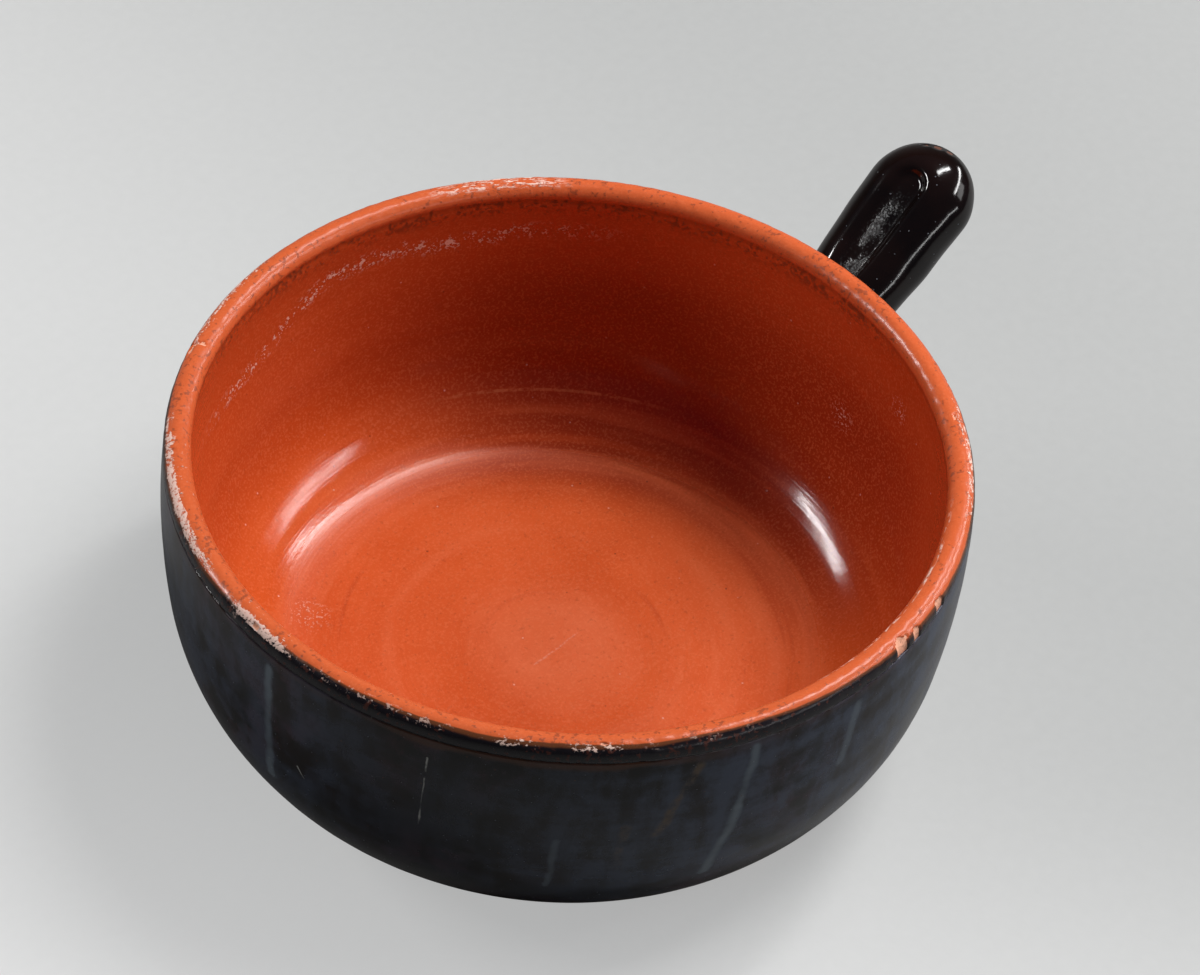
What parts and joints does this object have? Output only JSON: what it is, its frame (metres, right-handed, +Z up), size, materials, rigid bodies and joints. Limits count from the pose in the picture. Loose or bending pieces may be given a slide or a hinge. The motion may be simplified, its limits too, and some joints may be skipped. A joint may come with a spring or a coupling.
{
  "type": "cooking pot",
  "caption": "Round open earthenware cooking pot with a rounded lip, a curved heel, a flat base and a grooved stub handle that rises from its side.",
  "frame": {"origin": "middle of the flat base, on the axis of the bowl, at the level of the surface it stands on", "axes": "+Z up along the axis of the bowl, +X out along the handle, +Y across the bowl"},
  "size_m": [0.2749, 0.2226, 0.1111],
  "materials": {
    "red_clay": "bare fired red earthenware, matt",
    "clear_glaze": "clear glaze over red earthenware, satin gloss with scale at the rim",
    "black_glaze": "black-brown glaze, glossy, clouded with blue-grey"
  },
  "bodies": {
    "root": {"bowl": "red_clay", "inner_glaze": "clear_glaze", "outer_glaze": "black_glaze", "handle": "black_glaze", "handle_collar": "black_glaze"}
  },
  "joints": []
}
